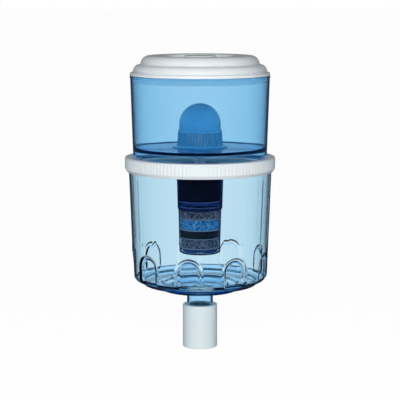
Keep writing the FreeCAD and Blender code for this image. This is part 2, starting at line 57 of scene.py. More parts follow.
# Camera fitted to the photograph
FOCAL_PIXELS = 1545
PHOTO_PIXELS = 400
CAMERA_PITCH = 7.7
CAMERA_PLACE = (0, -2.4356, 0.5659)

# How finely turned shapes are divided, and the bend in degrees from which an edge stays crisp
TURN_STEPS = 256
TANK_STEPS = 1080
SHARP_ANGLE = 35.0

# Lower tank, in millimetres
TANK_WALL = 3.2
TANK_RIM_Z = 296.0
TANK_RIM_RADIUS = 113.7
TANK_TAPER = 0.0377
TANK_BOTTOM_Z = 107.5
FOOT_RADIUS = 91.0
FOOT_Z = 102.0
DISH_RADIUS = 61.0
DISH_Z = 92.6
WEIR_RADIUS = 44.0
WEIR_FOOT_HALF_WIDTH = 1.5
WEIR_TOP_HALF_WIDTH = 1.1
NECK_RADIUS = 20.75
NECK_BORE = 17.55
NECK_END = 30.0

# The outer wall is divided more finely around the alcoves, up to a point that splits it
FINE_WALL_SPLIT = 160
FINE_WALL_BOTTOM = 108
FINE_WALL_TOP = 161
FINE_WALL_RADIUS = 95
FINE_STEP = 0.9
COARSE_STEP = 6.0

# The tank's nine flutes and alcoves
ALCOVE_COUNT = 9
ALCOVE_AZIMUTH = -9.5
FLUTE_HALF_WIDTH = 21.0
FLUTE_DEPTH = 0.6
FLUTE_TOP = 288.0
ARCH_TOP = 157.6
ARCH_RADIUS = 21.0
ALCOVE_BOTTOM = 111.0
ALCOVE_DEPTH_TOP = 2.4
ALCOVE_DEPTH_BOTTOM = 2.1
ALCOVE_INSET = 4.5
EDGE_SOFTNESS_TOP = 3.6
EDGE_SOFTNESS_BOTTOM = 8.0
FLUTE_SOFTNESS = 9.0
FLUTE_FADE = 18.0

# Ring, in millimetres, but GROOVE_HALF_WIDTH is a share of the grooves' spacing
RING_RADIUS = 119.0
RING_BOTTOM = 283.0
RING_CHAMFER_TOP = 288.4
RING_TOP = 306.6
RING_LEDGE_BORE = 99.5
RING_PLAY = 0.4
RING_SEAT_GAP = 0.2
COLLAR_PLAY = 0.5
KNURL_FROM_RADIUS = 116.5
KNURL_BOTTOM = 287.6
KNURL_TOP = 304.4
KNURL_COUNT = 120
KNURL_DEPTH = 0.75
KNURL_FADE = 1.6
GROOVE_HALF_WIDTH = 0.26

# Upper tank, in millimetres
UPPER_WALL = 2.8
UPPER_BOTTOM = 300.0
UPPER_FLOOR = 321.0
UPPER_FLOOR_THICKNESS = 3.0
UPPER_FLOOR_RADIUS = 106.27
UPPER_TAPER = 0.0332
UPPER_RIM = 434.6
UPPER_BEAD = 0.6
UPPER_BEAD_HEIGHT = 4.2
FLOOR_HOLE = 9.4

# Lid, from its middle outwards, in millimetres
LID_WALL = 2.4
LID_TOP = 466.0
KNOB_DIP = 465.2
KNOB_RADIUS = 25.0
RECESS_FLOOR = 452.6
RECESS_INNER_RADIUS = 31.0
RECESS_OUTER_RADIUS = 53.5
RECESS_MOUTH = 465.4
RECESS_MOUTH_RADIUS = 55.5
CROWN_RADIUS = 72
LID_TOP_EDGE = 465.7
LID_TOP_RADIUS = 93.6
LID_STEP_INNER_EDGE = 452.2
LID_STEP_OUTER_EDGE = 451.9
LID_STEP_RADIUS = 105.4
LID_FLANGE_INNER_EDGE = 439.8
LID_FLANGE_OUTER_EDGE = 439.4
LID_FLANGE_RADIUS = 110.2
LID_SEAT = UPPER_RIM + 0.1
LID_SKIRT_BOTTOM = 424.0
LID_SKIRT_PLAY = 0.7
LID_SKIRT_DRAFT = 0.6

# Sleeve on the neck, in millimetres
SLEEVE_RADIUS = 27.5
SLEEVE_TOP = 69.0
SLEEVE_TOP_UNDERSIDE = 66.5
SLEEVE_BORE = 25.0
SLEEVE_PLAY = 0.3

# Cartridge, in millimetres
HOUSING_TOP = 296.0
HOUSING_TOP_RADIUS = 37.6
HOUSING_BOTTOM = 223.5
HOUSING_BOTTOM_RADIUS = 35.6
HOUSING_WALL = 2.2
CUP_SHOULDER = 223.1
CUP_TOP_RADIUS = 33.9
CUP_BOTTOM = 152.3
CUP_BOTTOM_RADIUS = 32.0
CUP_WALL = 2.0

# Layers in the cartridge: bottom, top and size of grain, in millimetres
CARBON_LAYER = (237.1, 274.4, 2.2)
SAND_LAYER = (209.4, 221.8, 2.0)
BALL_LAYER = (191.6, 208.1, 2.9)
FINE_CARBON_LAYER = (178.1, 190.3, 1.7)
STONE_LAYER = (162.4, 176.8, 2.6)
GRAIN_GAP = 0.2
CORE_STEPS = 96

# Room that lights opaque plastic, at its horizon and overhead, and light on what is behind clear plastic.
# A range is of the height, or of the way to the back, of the direction that is looked in.
ROOM_COLOUR = (0.88, 0.94, 1.0)
ROOM_RANGE = (0.0, 0.9)
ROOM_LIGHT = 0.33
CEILING_LIGHT = 0.06
INSIDE_LIGHT = 2.0

# Room that plastic reflects, in front and behind, and how much brighter it is off an inner face
MIRRORED_COLOUR = (0.9, 0.95, 1.0)
MIRRORED_RANGE = (-0.7, 0.1)
MIRRORED_FRONT = 0.02
MIRRORED_BACK = 0.25
INNER_BACK = 3.2
MIRRORED_FLOOR_COLOUR = (0.35, 0.55, 1.0)
MIRRORED_FLOOR = 0.14
INNER_FLOOR = 0.4

# White that is seen through clear plastic, the floor's own look, and the painted shade, bluish and dimmer,
# that the floor shows near the object through clear plastic
WHITE = (1, 1, 1)
THROUGH_GLOW = 1.08
OVERHEAD_GLOW = 0.12
HORIZON_RANGE = (-0.02, 0.1)
FLOOR_COLOUR = (0.82, 0.83, 0.84)
# Painted shade: the colour of the bluish, dimmer floor near the object as seen through clear plastic, and
# the distances over which it fades to white
NEAR_FLOOR_PAINTED_SHADE = (0.38, 0.68, 1.0)
NEAR_FLOOR_METRES = (0.2, 0.7)
FLOOR_GLOW = 0.94
WHITE_GLOW = 1.03
FLOOR_HALF_SIZE = 200.0
FLOOR_DROP = 0.0005

# Lamps: places and sizes in metres, powers in watts
KEY_PLACE = (-0.08, -2.25, 1.0)
KEY_AIM = (0, 0, 0.34)
KEY_SIZE = 0.7
KEY_POWER = 39
GLINT_PLACE = (-0.2, -1.9, 1.04)
GLINT_RADIUS = 0.05
GLINT_POWER = 8


def mm(value):
    return value / 1000


def rounded(corners, steps=8):
    """Closed outline through (radius, height) corners, as points. A third value rounds that corner."""
    points = []
    for i, corner in enumerate(corners):
        here = Vector(corner[:2])
        size = corner[2] if len(corner) > 2 else 0
        if not size:
            points.append(here)
            continue
        back = (Vector(corners[i - 1][:2]) - here).normalized()
        ahead = (Vector(corners[(i + 1) % len(corners)][:2]) - here).normalized()
        half_angle = back.angle(ahead) / 2
        centre = here + (back + ahead).normalized() * (size / math.sin(half_angle))
        first = here + back * (size / math.tan(half_angle)) - centre
        last = here + ahead * (size / math.tan(half_angle)) - centre
        sweep = math.atan2(first.cross(last), first.dot(last))
        for k in range(steps + 1):
            turned = Matrix.Rotation(sweep * k / steps, 2) @ first
            points.append(centre + turned)
    return points


def divided(points, longest, is_fine=None):
    """The same closed outline with its long stretches cut into steps.

    Stretches for which is_fine(here, ahead) is true get the fine step instead.
    """
    made = []
    for i, here in enumerate(points):
        ahead = points[(i + 1) % len(points)]
        step = FINE_STEP if is_fine and is_fine(here, ahead) else longest
        count = max(1, math.ceil((ahead - here).length / step))
        made += [here.lerp(ahead, k / count) for k in range(count)]
    return made


def mesh_object(name, vertices, faces, sharp_angle=SHARP_ANGLE):
    """New smooth-shaded object. Edges that bend more than sharp_angle stay crisp."""
    mesh = bpy.data.meshes.new(name)
    mesh.from_pydata(vertices, [], faces)
    mesh.validate()
    mesh.update()
    made = bpy.data.objects.new(name, mesh)
    bpy.context.scene.collection.objects.link(made)
    smooth(mesh, sharp_angle)
    return made


def smooth(mesh, sharp_angle):
    mesh.shade_smooth()
    mesh.set_sharp_from_angle(angle=math.radians(sharp_angle))


def lathe(name, outline, steps=TURN_STEPS, reshape=None, sharp_angle=SHARP_ANGLE):
    """Turns a closed outline of (radius, height) points in millimetres about the axis.

    reshape(radius, height, azimuth) gives another radius, where the piece isn't round.
    Points on the axis become one vertex each.
    """
    turning = sum(here.cross(outline[i - 1]) for i, here in enumerate(outline))
    if turning > 0:
        outline = outline[::-1]
    rows = len(outline)
    vertices, index = [], {}
    for r, point in enumerate(outline):
        on_axis = point.x < 1e-6
        for s in range(steps):
            if on_axis and s:
                index[r, s] = index[r, 0]
                continue
            azimuth = 2 * math.pi * s / steps
            radius = point.x
            if reshape and not on_axis:
                radius = reshape(radius, point.y, math.degrees(azimuth))
            index[r, s] = len(vertices)
            vertices.append((mm(radius * math.sin(azimuth)), mm(-radius * math.cos(azimuth)), mm(point.y)))
    faces = []
    for r in range(rows):
        following = (r + 1) % rows
        if outline[r].x < 1e-6 and outline[following].x < 1e-6:
            continue
        for s in range(steps):
            t = (s + 1) % steps
            corners = [index[r, s], index[r, t], index[following, t], index[following, s]]
            unique = list(dict.fromkeys(corners))
            if len(unique) > 2:
                faces.append(unique)
    return mesh_object(name, vertices, faces, sharp_angle)


def ease(value):
    """Smooth step from 0 to 1."""
    value = min(1.0, max(0.0, value))
    return value * value * (3 - 2 * value)


def tank_radius(z):
    return TANK_RIM_RADIUS - (TANK_RIM_Z - z) * TANK_TAPER


def upper_radius(z):
    return UPPER_FLOOR_RADIUS + (z - UPPER_FLOOR) * UPPER_TAPER


# Materials

def node_adder(tree):
    """Function that adds a node to the tree, with its settings and what goes into its sockets."""
    def add(kind, inputs=(), **settings):
        node = tree.nodes.new(kind)
        for key, value in settings.items():
            setattr(node, key, value)
        for key, value in dict(inputs).items():
            if isinstance(value, bpy.types.NodeSocket):
                tree.links.new(value, node.inputs[key])
            else:
                node.inputs[key].default_value = value
        return node

    return add


def node_material(name):
    """New material, its node tree, its Principled shader, and a function that adds nodes to it."""
    material = bpy.data.materials.new(name)
    material.use_nodes = True
    tree = material.node_tree
    return material, tree, tree.nodes["Principled BSDF"], node_adder(tree)


def position(add):
    return add("ShaderNodeTexCoord").outputs["Object"]


def spread(add, value, low, high, at_low=0.0, at_high=1.0):
    """Value stretched from low and high to at_low and at_high, and held beyond them."""
    return add("ShaderNodeMapRange", {"Value": value, "From Min": low, "From Max": high,
                                      "To Min": at_low, "To Max": at_high}).outputs["Result"]


def calculated(add, operation, first, second):
    return add("ShaderNodeMath", {0: first, 1: second}, operation=operation).outputs[0]


def colour_between(add, value, dark, light, start=0.0, end=1.0):
    """Colour that goes from dark to light as value goes from start to end."""
    ramp = add("ShaderNodeValToRGB", {"Fac": value})
    first, last = ramp.color_ramp.elements
    first.position = start
    first.color = (*dark, 1)
    last.position = end
    last.color = (*light, 1)
    return ramp.outputs["Color"]


def uneven_roughness(tree, shader, add, scale, low, high):
    """Roughness that drifts between two values, as on moulded plastic that has been handled."""
    drift = add("ShaderNodeTexNoise", {"Vector": position(add), "Scale": scale, "Detail": 4.0})
    tree.links.new(spread(add, drift.outputs["Fac"], 0.3, 0.7, low, high), shader.inputs["Roughness"])


def mottled_colour(tree, shader, add, scale, dark, light):
    """Base colour that drifts between two colours."""
    drift = add("ShaderNodeTexNoise", {"Vector": position(add), "Scale": scale, "Detail": 4.0})
    colour = colour_between(add, drift.outputs["Fac"], dark, light, 0.32, 0.68)
    tree.links.new(colour, shader.inputs["Base Color"])


def bumped(tree, shader, add, scale, distance, detail=3.0):
    """Fine unevenness of the surface."""
    grain = add("ShaderNodeTexNoise", {"Vector": position(add), "Scale": scale, "Detail": detail})
    bump = add("ShaderNodeBump", {"Height": grain.outputs["Fac"], "Distance": distance, "Strength": 0.6})
    tree.links.new(bump.outputs["Normal"], shader.inputs["Normal"])


def moulded(name, dark, light, low=0.26, high=0.36):
    """Injection-moulded opaque plastic with a soft gloss."""
    material, tree, shader, add = node_material(name)
    mottled_colour(tree, shader, add, 9.0, dark, light)
    uneven_roughness(tree, shader, add, 40.0, low, high)
    bumped(tree, shader, add, 900.0, 0.00002)
    shader.inputs["IOR"].default_value = 1.46
    return material


def clear_plastic(name, absorbed, low=0.0, high=0.02):
    """Clear tinted plastic. absorbed is how much red, green and blue one metre of it takes out."""
    material, tree, shader, add = node_material(name)
    shader.inputs["Base Color"].default_value = (1, 1, 1, 1)
    shader.inputs["Transmission Weight"].default_value = 1.0
    shader.inputs["IOR"].default_value = 1.49
    uneven_roughness(tree, shader, add, 25.0, low, high)
    bumped(tree, shader, add, 14.0, 0.0002, 1.0)
    strongest = max(absorbed)
    volume = add("ShaderNodeVolumeAbsorption")
    volume.inputs["Color"].default_value = (*[1 - a / strongest for a in absorbed], 1)
    volume.inputs["Density"].default_value = strongest
    tree.links.new(volume.outputs["Volume"], tree.nodes["Material Output"].inputs["Volume"])
    return material


def grains(name, dark, light, scale, roughness):
    """Grains whose colour changes from one to the next."""
    material, tree, shader, add = node_material(name)
    cells = add("ShaderNodeTexVoronoi", {"Vector": position(add), "Scale": scale})
    colour = colour_between(add, cells.outputs["Color"], dark, light, 0.25, 0.8)
    tree.links.new(colour, shader.inputs["Base Color"])
    bumped(tree, shader, add, 1500.0, 0.0001)
    shader.inputs["Roughness"].default_value = roughness
    return material


def matte(name, dark, light, scale=60.0, grain=1200.0, depth=0.0001, low=0.6, high=0.8):
    """Matt material with a mottled colour and a fine grain."""
    material, tree, shader, add = node_material(name)
    mottled_colour(tree, shader, add, scale, dark, light)
    uneven_roughness(tree, shader, add, scale, low, high)
    bumped(tree, shader, add, grain, depth)
    return material


def drawn_wire(name):
    """Bright wire with fine lines along it."""
    material, tree, shader, add = node_material(name)
    mottled_colour(tree, shader, add, 300.0, (0.5, 0.5, 0.52), (0.68, 0.68, 0.7))
    uneven_roughness(tree, shader, add, 600.0, 0.22, 0.4)
    shader.inputs["Metallic"].default_value = 1.0
    return material


PLASTIC_WHITE = moulded("white_plastic", (0.74, 0.785, 0.80), (0.80, 0.84, 0.85))
SLEEVE_WHITE = moulded("sleeve_plastic", (0.72, 0.79, 0.775), (0.77, 0.83, 0.82), 0.34, 0.44)
UPPER_CLEAR = clear_plastic("blue_clear", (212, 81, 18))
LOWER_CLEAR = clear_plastic("pale_blue_clear", (95, 34, 9))
COVER_BLUE = moulded("cover_blue", (0.12, 0.38, 0.6), (0.14, 0.42, 0.65), 0.1, 0.14)
CARTRIDGE_CLEAR = clear_plastic("cartridge_clear", (420, 300, 110), 0.02, 0.05)
CUP_CLEAR = clear_plastic("cup_clear", (110, 75, 25), 0.02, 0.05)
BLUE = matte("blue_plastic", (0.02, 0.07, 0.2), (0.03, 0.1, 0.27), low=0.3, high=0.45, depth=0.00002)
CERAMIC = matte("ceramic", (0.78, 0.79, 0.77), (0.87, 0.87, 0.85), 90.0, 2500.0, 0.0002)
RUBBER = matte("rubber_seal", (0.55, 0.57, 0.6), (0.66, 0.68, 0.7), low=0.55, high=0.7)
FELT = matte("felt", (0.5, 0.55, 0.62), (0.72, 0.76, 0.82), 700.0, 2600.0, 0.0004, 0.85, 0.95)
CARBON = grains("black_carbon", (0.015, 0.019, 0.026), (0.06, 0.07, 0.09), 900.0, 0.5)
GREY_GRAINS = grains("grey_mineral", (0.05, 0.05, 0.07), (0.5, 0.46, 0.5), 420.0, 0.7)
STONES = grains("brown_mineral", (0.08, 0.08, 0.11), (0.38, 0.37, 0.44), 380.0, 0.65)
BALLS = grains("blue_balls", (0.04, 0.26, 0.6), (0.32, 0.78, 1.0), 330.0, 0.45)
STEEL = drawn_wire("spring_steel")


def dress(made, material, body, slot, *replaced):
    """Gives a new piece its material and its body, and hides the CAD nodes it stands for. slot is not used.
    """
    made.data.materials.append(material)
    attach(made, body)
    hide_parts(*replaced)
    return made


# Camera

def make_camera():
    data = bpy.data.cameras.new("camera")
    data.sensor_width = 36
    data.lens = FOCAL_PIXELS / PHOTO_PIXELS * data.sensor_width
    data.clip_start = 0.1
    data.clip_end = 50
    made = bpy.data.objects.new("camera", data)
    made.location = CAMERA_PLACE
    made.rotation_euler = (math.radians(90 - CAMERA_PITCH), 0, 0)
    bpy.context.scene.collection.objects.link(made)
    bpy.context.scene.camera = made


# Pieces

def across_panel(z, azimuth):
    """Distance along the wall from the middle of the nearest flute and alcove."""
    spacing = 360.0 / ALCOVE_COUNT
    off_centre = (azimuth - ALCOVE_AZIMUTH + spacing / 2) % spacing - spacing / 2
    return abs(math.radians(off_centre)) * tank_radius(z)


def alcove_depth(z, across, inset=0.0):
    """How far the wall steps in at an arched alcove, whose edge is softer towards its foot."""
    arch_centre = ARCH_TOP - ARCH_RADIUS
    if z > arch_centre:
        inside = ARCH_RADIUS - math.hypot(across, z - arch_centre)
    else:
        inside = ARCH_RADIUS - across
    share = min(1.0, max(0.0, (ARCH_TOP - z) / (ARCH_TOP - ALCOVE_BOTTOM)))
    depth = ALCOVE_DEPTH_TOP + share * (ALCOVE_DEPTH_BOTTOM - ALCOVE_DEPTH_TOP)
    softness = EDGE_SOFTNESS_TOP + share * (EDGE_SOFTNESS_BOTTOM - EDGE_SOFTNESS_TOP)
    return depth * ease((inside - inset) / softness + 0.5)


def flute_depth(z, across):
    """How far the wall hollows at a flute, which fades out at both ends."""
    edge = ease((FLUTE_HALF_WIDTH - across) / FLUTE_SOFTNESS)
    return FLUTE_DEPTH * edge * ease((z - ARCH_TOP) / FLUTE_FADE) * ease((FLUTE_TOP - z) / FLUTE_FADE)


def tank_reshape(radius, z, azimuth):
    """The tank's round wall, with the flutes and alcoves in both of its faces."""
    outside = tank_radius(z)
    if radius < outside - TANK_WALL - 1 or z < ALCOVE_BOTTOM or z > FLUTE_TOP:
        return radius
    across = across_panel(z, azimuth)
    flute = flute_depth(z, across)
    if radius < outside - TANK_WALL / 2:
        return min(radius, outside - TANK_WALL - max(flute, alcove_depth(z, across, ALCOVE_INSET)))
    return min(radius, outside - max(flute, alcove_depth(z, across)))


def lower_tank():
    inner_rim = TANK_RIM_RADIUS - TANK_WALL
    floor = TANK_BOTTOM_Z + TANK_WALL
    foot_floor = FOOT_Z + TANK_WALL
    dish_floor = DISH_Z + TANK_WALL
    weir_top = foot_floor - 1
    outline = rounded([
        (NECK_RADIUS, NECK_END, 0.5),
        (NECK_RADIUS, DISH_Z, 4),
        (DISH_RADIUS, DISH_Z, 3),
        (DISH_RADIUS, FOOT_Z, 2),
        (FOOT_RADIUS, FOOT_Z, 3.5),
        (FOOT_RADIUS, TANK_BOTTOM_Z, 1.2),
        (tank_radius(TANK_BOTTOM_Z), TANK_BOTTOM_Z, 13.5),
        (tank_radius(FINE_WALL_SPLIT), FINE_WALL_SPLIT),
        (TANK_RIM_RADIUS, TANK_RIM_Z, 0.8),
        (inner_rim, TANK_RIM_Z, 0.8),
        (tank_radius(FINE_WALL_SPLIT) - TANK_WALL, FINE_WALL_SPLIT),
        (tank_radius(floor) - TANK_WALL, floor, 10.3),
        (FOOT_RADIUS - TANK_WALL, floor, 2),
        (FOOT_RADIUS - TANK_WALL, foot_floor, 2),
        (DISH_RADIUS - TANK_WALL, foot_floor, 3),
        (DISH_RADIUS - TANK_WALL, dish_floor, 2),
        (WEIR_RADIUS + WEIR_FOOT_HALF_WIDTH, dish_floor, 1),
        (WEIR_RADIUS + WEIR_TOP_HALF_WIDTH, weir_top, 0.9),
        (WEIR_RADIUS - WEIR_TOP_HALF_WIDTH, weir_top, 0.9),
        (WEIR_RADIUS - WEIR_FOOT_HALF_WIDTH, dish_floor, 1),
        (NECK_BORE, dish_floor, 4),
        (NECK_BORE, NECK_END, 0.5),
    ])

    def beside_alcoves(here, ahead):
        low, high = sorted((here.y, ahead.y))
        return high < FINE_WALL_TOP and low > FINE_WALL_BOTTOM and here.x > FINE_WALL_RADIUS

    outline = divided(outline, COARSE_STEP, beside_alcoves)
    made = lathe("lower_tank_wall", outline, TANK_STEPS, tank_reshape, 60)
    return dress(made, LOWER_CLEAR, "reservoir", "pale_blue_clear", "lower_tank")


def upper_tank():
    under_floor = UPPER_FLOOR - UPPER_FLOOR_THICKNESS
    bead = upper_radius(UPPER_RIM) + UPPER_BEAD
    bead_bottom = UPPER_RIM - UPPER_BEAD_HEIGHT
    outline = rounded([
        (upper_radius(UPPER_BOTTOM), UPPER_BOTTOM, 0.6),
        (upper_radius(bead_bottom), bead_bottom, 0.5),
        (bead, bead_bottom + 0.9, 0.5),
        (bead, UPPER_RIM, 0.9),
        (upper_radius(UPPER_RIM) - UPPER_WALL, UPPER_RIM, 0.9),
        (upper_radius(UPPER_FLOOR) - UPPER_WALL, UPPER_FLOOR, 3),
        (FLOOR_HOLE, UPPER_FLOOR),
        (FLOOR_HOLE, under_floor),
        (upper_radius(under_floor) - UPPER_WALL, under_floor, 2),
        (upper_radius(UPPER_BOTTOM) - UPPER_WALL, UPPER_BOTTOM, 0.6),
    ])
    made = lathe("upper_tank_wall", divided(outline, 12), 512)
    return dress(made, UPPER_CLEAR, "upper", "blue_clear", "upper_tank")


def support_ring():
    collar = upper_radius(RING_TOP) + COLLAR_PLAY
    skirt_bore = TANK_RIM_RADIUS + RING_PLAY
    outline = rounded([
        (skirt_bore, RING_BOTTOM, 0.3),
        (skirt_bore + 0.9, RING_BOTTOM, 0.3),
        (RING_RADIUS, RING_CHAMFER_TOP, 1.5),
        (RING_RADIUS, RING_TOP, 2.2),
        (collar, RING_TOP, 0.8),
        (collar, UPPER_BOTTOM - RING_SEAT_GAP, 0.4),
        (RING_LEDGE_BORE, UPPER_BOTTOM - RING_SEAT_GAP, 0.8),
        (RING_LEDGE_BORE, TANK_RIM_Z + RING_SEAT_GAP, 0.8),
        (skirt_bore, TANK_RIM_Z + RING_SEAT_GAP, 0.4),
    ])

    def knurled(radius, z, azimuth):
        """Narrow upright grooves with rounded ends between broad ribs."""
        if radius < KNURL_FROM_RADIUS:
            return radius
        ends = ease((z - KNURL_BOTTOM) / KNURL_FADE) * ease((KNURL_TOP - z) / KNURL_FADE)
        across = (azimuth * KNURL_COUNT / 360.0) % 1.0
        groove = 1 - ease(abs(across - 0.5) / GROOVE_HALF_WIDTH)
        return radius - KNURL_DEPTH * ends * groove

    made = lathe("support_ring_knurled", divided(outline, 1.2), KNURL_COUNT * 12, knurled, 50)
    return dress(made, PLASTIC_WHITE, "ring", "white_plastic", "support_ring")


def lid():
    """The lid's top face from the middle outwards, then its underside back, one wall further in."""
    skirt = upper_radius(LID_SKIRT_BOTTOM) - UPPER_WALL - LID_SKIRT_PLAY
    outline = rounded([
        (0, KNOB_DIP),
        (KNOB_RADIUS, LID_TOP, 3),
        (RECESS_INNER_RADIUS, RECESS_FLOOR, 3),
        (RECESS_OUTER_RADIUS, RECESS_FLOOR, 3),
        (RECESS_MOUTH_RADIUS, RECESS_MOUTH, 2.5),
        (CROWN_RADIUS, LID_TOP, 30),
        (LID_TOP_RADIUS, LID_TOP_EDGE, 13),
        (LID_TOP_RADIUS, LID_STEP_INNER_EDGE, 1.2),
        (LID_STEP_RADIUS, LID_STEP_OUTER_EDGE, 10.8),
        (LID_STEP_RADIUS, LID_FLANGE_INNER_EDGE, 0.8),
        (LID_FLANGE_RADIUS, LID_FLANGE_OUTER_EDGE, 1.0),
        (LID_FLANGE_RADIUS, LID_SEAT, 0.6),
        (skirt, LID_SEAT, 0.3),
        (skirt - LID_SKIRT_DRAFT, LID_SKIRT_BOTTOM, 0.8),
        (skirt - LID_WALL, LID_SKIRT_BOTTOM, 0.8),
        (LID_STEP_RADIUS - LID_WALL, LID_STEP_OUTER_EDGE - LID_WALL, 8.6),
        (LID_TOP_RADIUS - LID_WALL, LID_STEP_OUTER_EDGE - LID_WALL, 2.0),
        (LID_TOP_RADIUS - LID_WALL, LID_TOP_EDGE - LID_WALL, 10.6),
        (RECESS_MOUTH_RADIUS + LID_WALL, RECESS_MOUTH - LID_WALL, 1.0),
        (RECESS_OUTER_RADIUS + LID_WALL, RECESS_FLOOR - LID_WALL, 3),
        (RECESS_INNER_RADIUS - LID_WALL, RECESS_FLOOR - LID_WALL, 3),
        (KNOB_RADIUS - LID_WALL, LID_TOP - LID_WALL, 2),
        (0, KNOB_DIP - LID_WALL),
    ], 10)
    made = lathe("lid_shell", divided(outline, 8), sharp_angle=50)
    return dress(made, PLASTIC_WHITE, "lid", "white_plastic", "lid")


def outlet_sleeve():
    neck_hole = NECK_RADIUS + SLEEVE_PLAY
    outline = rounded([
        (SLEEVE_RADIUS, 0, 1.9),
        (SLEEVE_RADIUS, SLEEVE_TOP, 1.2),
        (neck_hole, SLEEVE_TOP, 0.5),
        (neck_hole, SLEEVE_TOP_UNDERSIDE),
        (SLEEVE_BORE, SLEEVE_TOP_UNDERSIDE, 1.0),
        (SLEEVE_BORE, 0, 0.5),
    ])
    made = lathe("outlet_sleeve_shell", divided(outline, 8), 160)
    return dress(made, SLEEVE_WHITE, "reservoir", "white_plastic", "outlet_sleeve")


def housing_inner(z):
    share = (z - HOUSING_BOTTOM) / (HOUSING_TOP - HOUSING_BOTTOM)
    return HOUSING_BOTTOM_RADIUS + share * (HOUSING_TOP_RADIUS - HOUSING_BOTTOM_RADIUS) - HOUSING_WALL


def cup_inner(z):
    share = (z - CUP_BOTTOM) / (CUP_SHOULDER - CUP_BOTTOM)
    return CUP_BOTTOM_RADIUS + share * (CUP_TOP_RADIUS - CUP_BOTTOM_RADIUS) - CUP_WALL


def grain_form(divisions):
    """Vertices and faces of a ball of unit radius."""
    builder = bmesh.new()
    bmesh.ops.create_icosphere(builder, subdivisions=divisions, radius=1.0)
    vertices = [v.co.copy() for v in builder.verts]
    faces = [[v.index for v in f.verts] for f in builder.faces]
    builder.free()
    return vertices, faces


def around(radius, azimuth, height):
    return Vector((radius * math.sin(azimuth), -radius * math.cos(azimuth), height))


def packed_layer(name, layer, inner_radius, material, slot, node, round_grains, body):
    """One layer of grains: a core that fills the middle, and grains packed over its side and top."""
    bottom, top, size = layer
    form, form_faces = grain_form(2 if round_grains else 1)
    vertices, faces = [], []

    def place(centre, radius):
        turn = Matrix.Rotation(random.uniform(0, math.tau), 3, Vector(
            (random.uniform(-1, 1), random.uniform(-1, 1), random.uniform(-1, 1))).normalized())
        squash = Matrix.Diagonal([1, 1, 1]) if round_grains else Matrix.Diagonal(
            [random.uniform(0.7, 1.1) for _ in range(3)])
        start = len(vertices)
        for corner in form:
            knock = 1.0 if round_grains else random.uniform(0.8, 1.0)
            vertices.append((centre + turn @ squash @ corner * radius * knock) / 1000)
        faces.extend([[start + i for i in face] for face in form_faces])

    def wall(z):
        return inner_radius(z) - GRAIN_GAP

    half = size / 2
    rows = max(1, round((top - bottom - size) / (size * 0.86)))
    for row in range(rows + 1):
        z = bottom + half + (top - bottom - size) * row / rows
        count = int(math.tau * wall(z) / (size * 0.98))
        for k in range(count):
            azimuth = math.tau * (k + 0.5 * (row % 2) + random.uniform(-0.15, 0.15)) / count
            radius = half * random.uniform(0.86, 1.0)
            depth = wall(z) - radius - random.uniform(0, 0.2) * size
            height = min(top - radius, max(bottom + radius, z + random.uniform(-0.1, 0.1) * size))
            place(around(depth, azimuth, height), radius)
    ring = wall(top) - size * 1.5
    while ring > size:
        count = int(math.tau * ring / size)
        for k in range(count):
            azimuth = math.tau * (k + random.uniform(-0.2, 0.2)) / count
            radius = half * random.uniform(0.86, 1.0)
            height = top - radius - random.uniform(0, 0.25) * size
            place(around(ring, azimuth, height), radius)
        ring -= size * 0.95
    core = rounded([
        (0, bottom),
        (wall(bottom) - half, bottom, 0.4),
        (wall(top) - half, top - half, 0.4),
        (0, top - half),
    ])
    first = len(vertices)
    for point in core:
        for k in range(CORE_STEPS):
            vertices.append(around(point.x, math.tau * k / CORE_STEPS, point.y) / 1000)
    for r in range(len(core) - 1):
        low = first + r * CORE_STEPS
        high = low + CORE_STEPS
        for k in range(CORE_STEPS):
            t = (k + 1) % CORE_STEPS
            faces.append([low + k, low + t, high + t, high + k])
    made = mesh_object(name, vertices, faces, 60)
    return dress(made, material, body, slot, node)


def cartridge():
    """Carbon in the housing, and the cup's layers from the top down."""
    packed_layer("carbon_granules", CARBON_LAYER, housing_inner, CARBON,
                 "black_carbon", "carbon_bed", False, "cartridge")
    packed_layer("mineral_granules", SAND_LAYER, cup_inner, GREY_GRAINS,
                 "grey_mineral", "mineral_sand", False, "cup")
    packed_layer("ceramic_balls", BALL_LAYER, cup_inner, BALLS,
                 "blue_balls", "bio_balls", True, "cup")
    packed_layer("carbon_grains", FINE_CARBON_LAYER, cup_inner, CARBON,
                 "black_carbon", "fine_carbon", False, "cup")
    packed_layer("mineral_chips", STONE_LAYER, cup_inner, STONES,
                 "brown_mineral", "mineral_stones", False, "cup")


def carry_over():
    """The CAD nodes that keep their own shape."""
    materials = {
        "dome_cover": COVER_BLUE, "cartridge_housing": CARTRIDGE_CLEAR, "mineral_cup": CUP_CLEAR,
        "ceramic_dome": CERAMIC, "ceramic_base": PLASTIC_WHITE, "lock_nut": COVER_BLUE, "carbon_grid": BLUE,
        "cup_grid": BLUE, "bottom_grid": BLUE, "base_washer": RUBBER, "head_washer": RUBBER,
        "neck_washer": RUBBER, "valve_seal": RUBBER, "cup_oring": RUBBER, "valve_body": SLEEVE_WHITE,
        "valve_cage": SLEEVE_WHITE, "valve_plunger": SLEEVE_WHITE, "valve_spring": STEEL,
        "carbon_top_felt": FELT, "carbon_bottom_felt": FELT, "mineral_sand_felt": FELT,
        "bio_balls_felt": FELT, "fine_carbon_felt": FELT, "mineral_stones_felt": FELT,
    }
    for node, material in materials.items():
        target = frame["nodes"][node]
        target.data.materials.clear()
        target.data.materials.append(material)
        smooth(target.data, SHARP_ANGLE)


# Studio

def front_to_back(add, direction, paths, behind, inner):
    """How bright the room looks in a reflection: dark in front of the object, pale beside and behind it.

    A reflection seen through clear plastic is inner times as bright as one off the outside.
    """
    towards_back = add("ShaderNodeSeparateXYZ", {"Vector": direction}).outputs["Y"]
    brightness = spread(add, towards_back, *MIRRORED_RANGE, MIRRORED_FRONT, behind)
    factor = spread(add, paths.outputs["Transmission Depth"], 0.0, 1.0, 1.0, inner)
    return calculated(add, "MULTIPLY", brightness, factor)


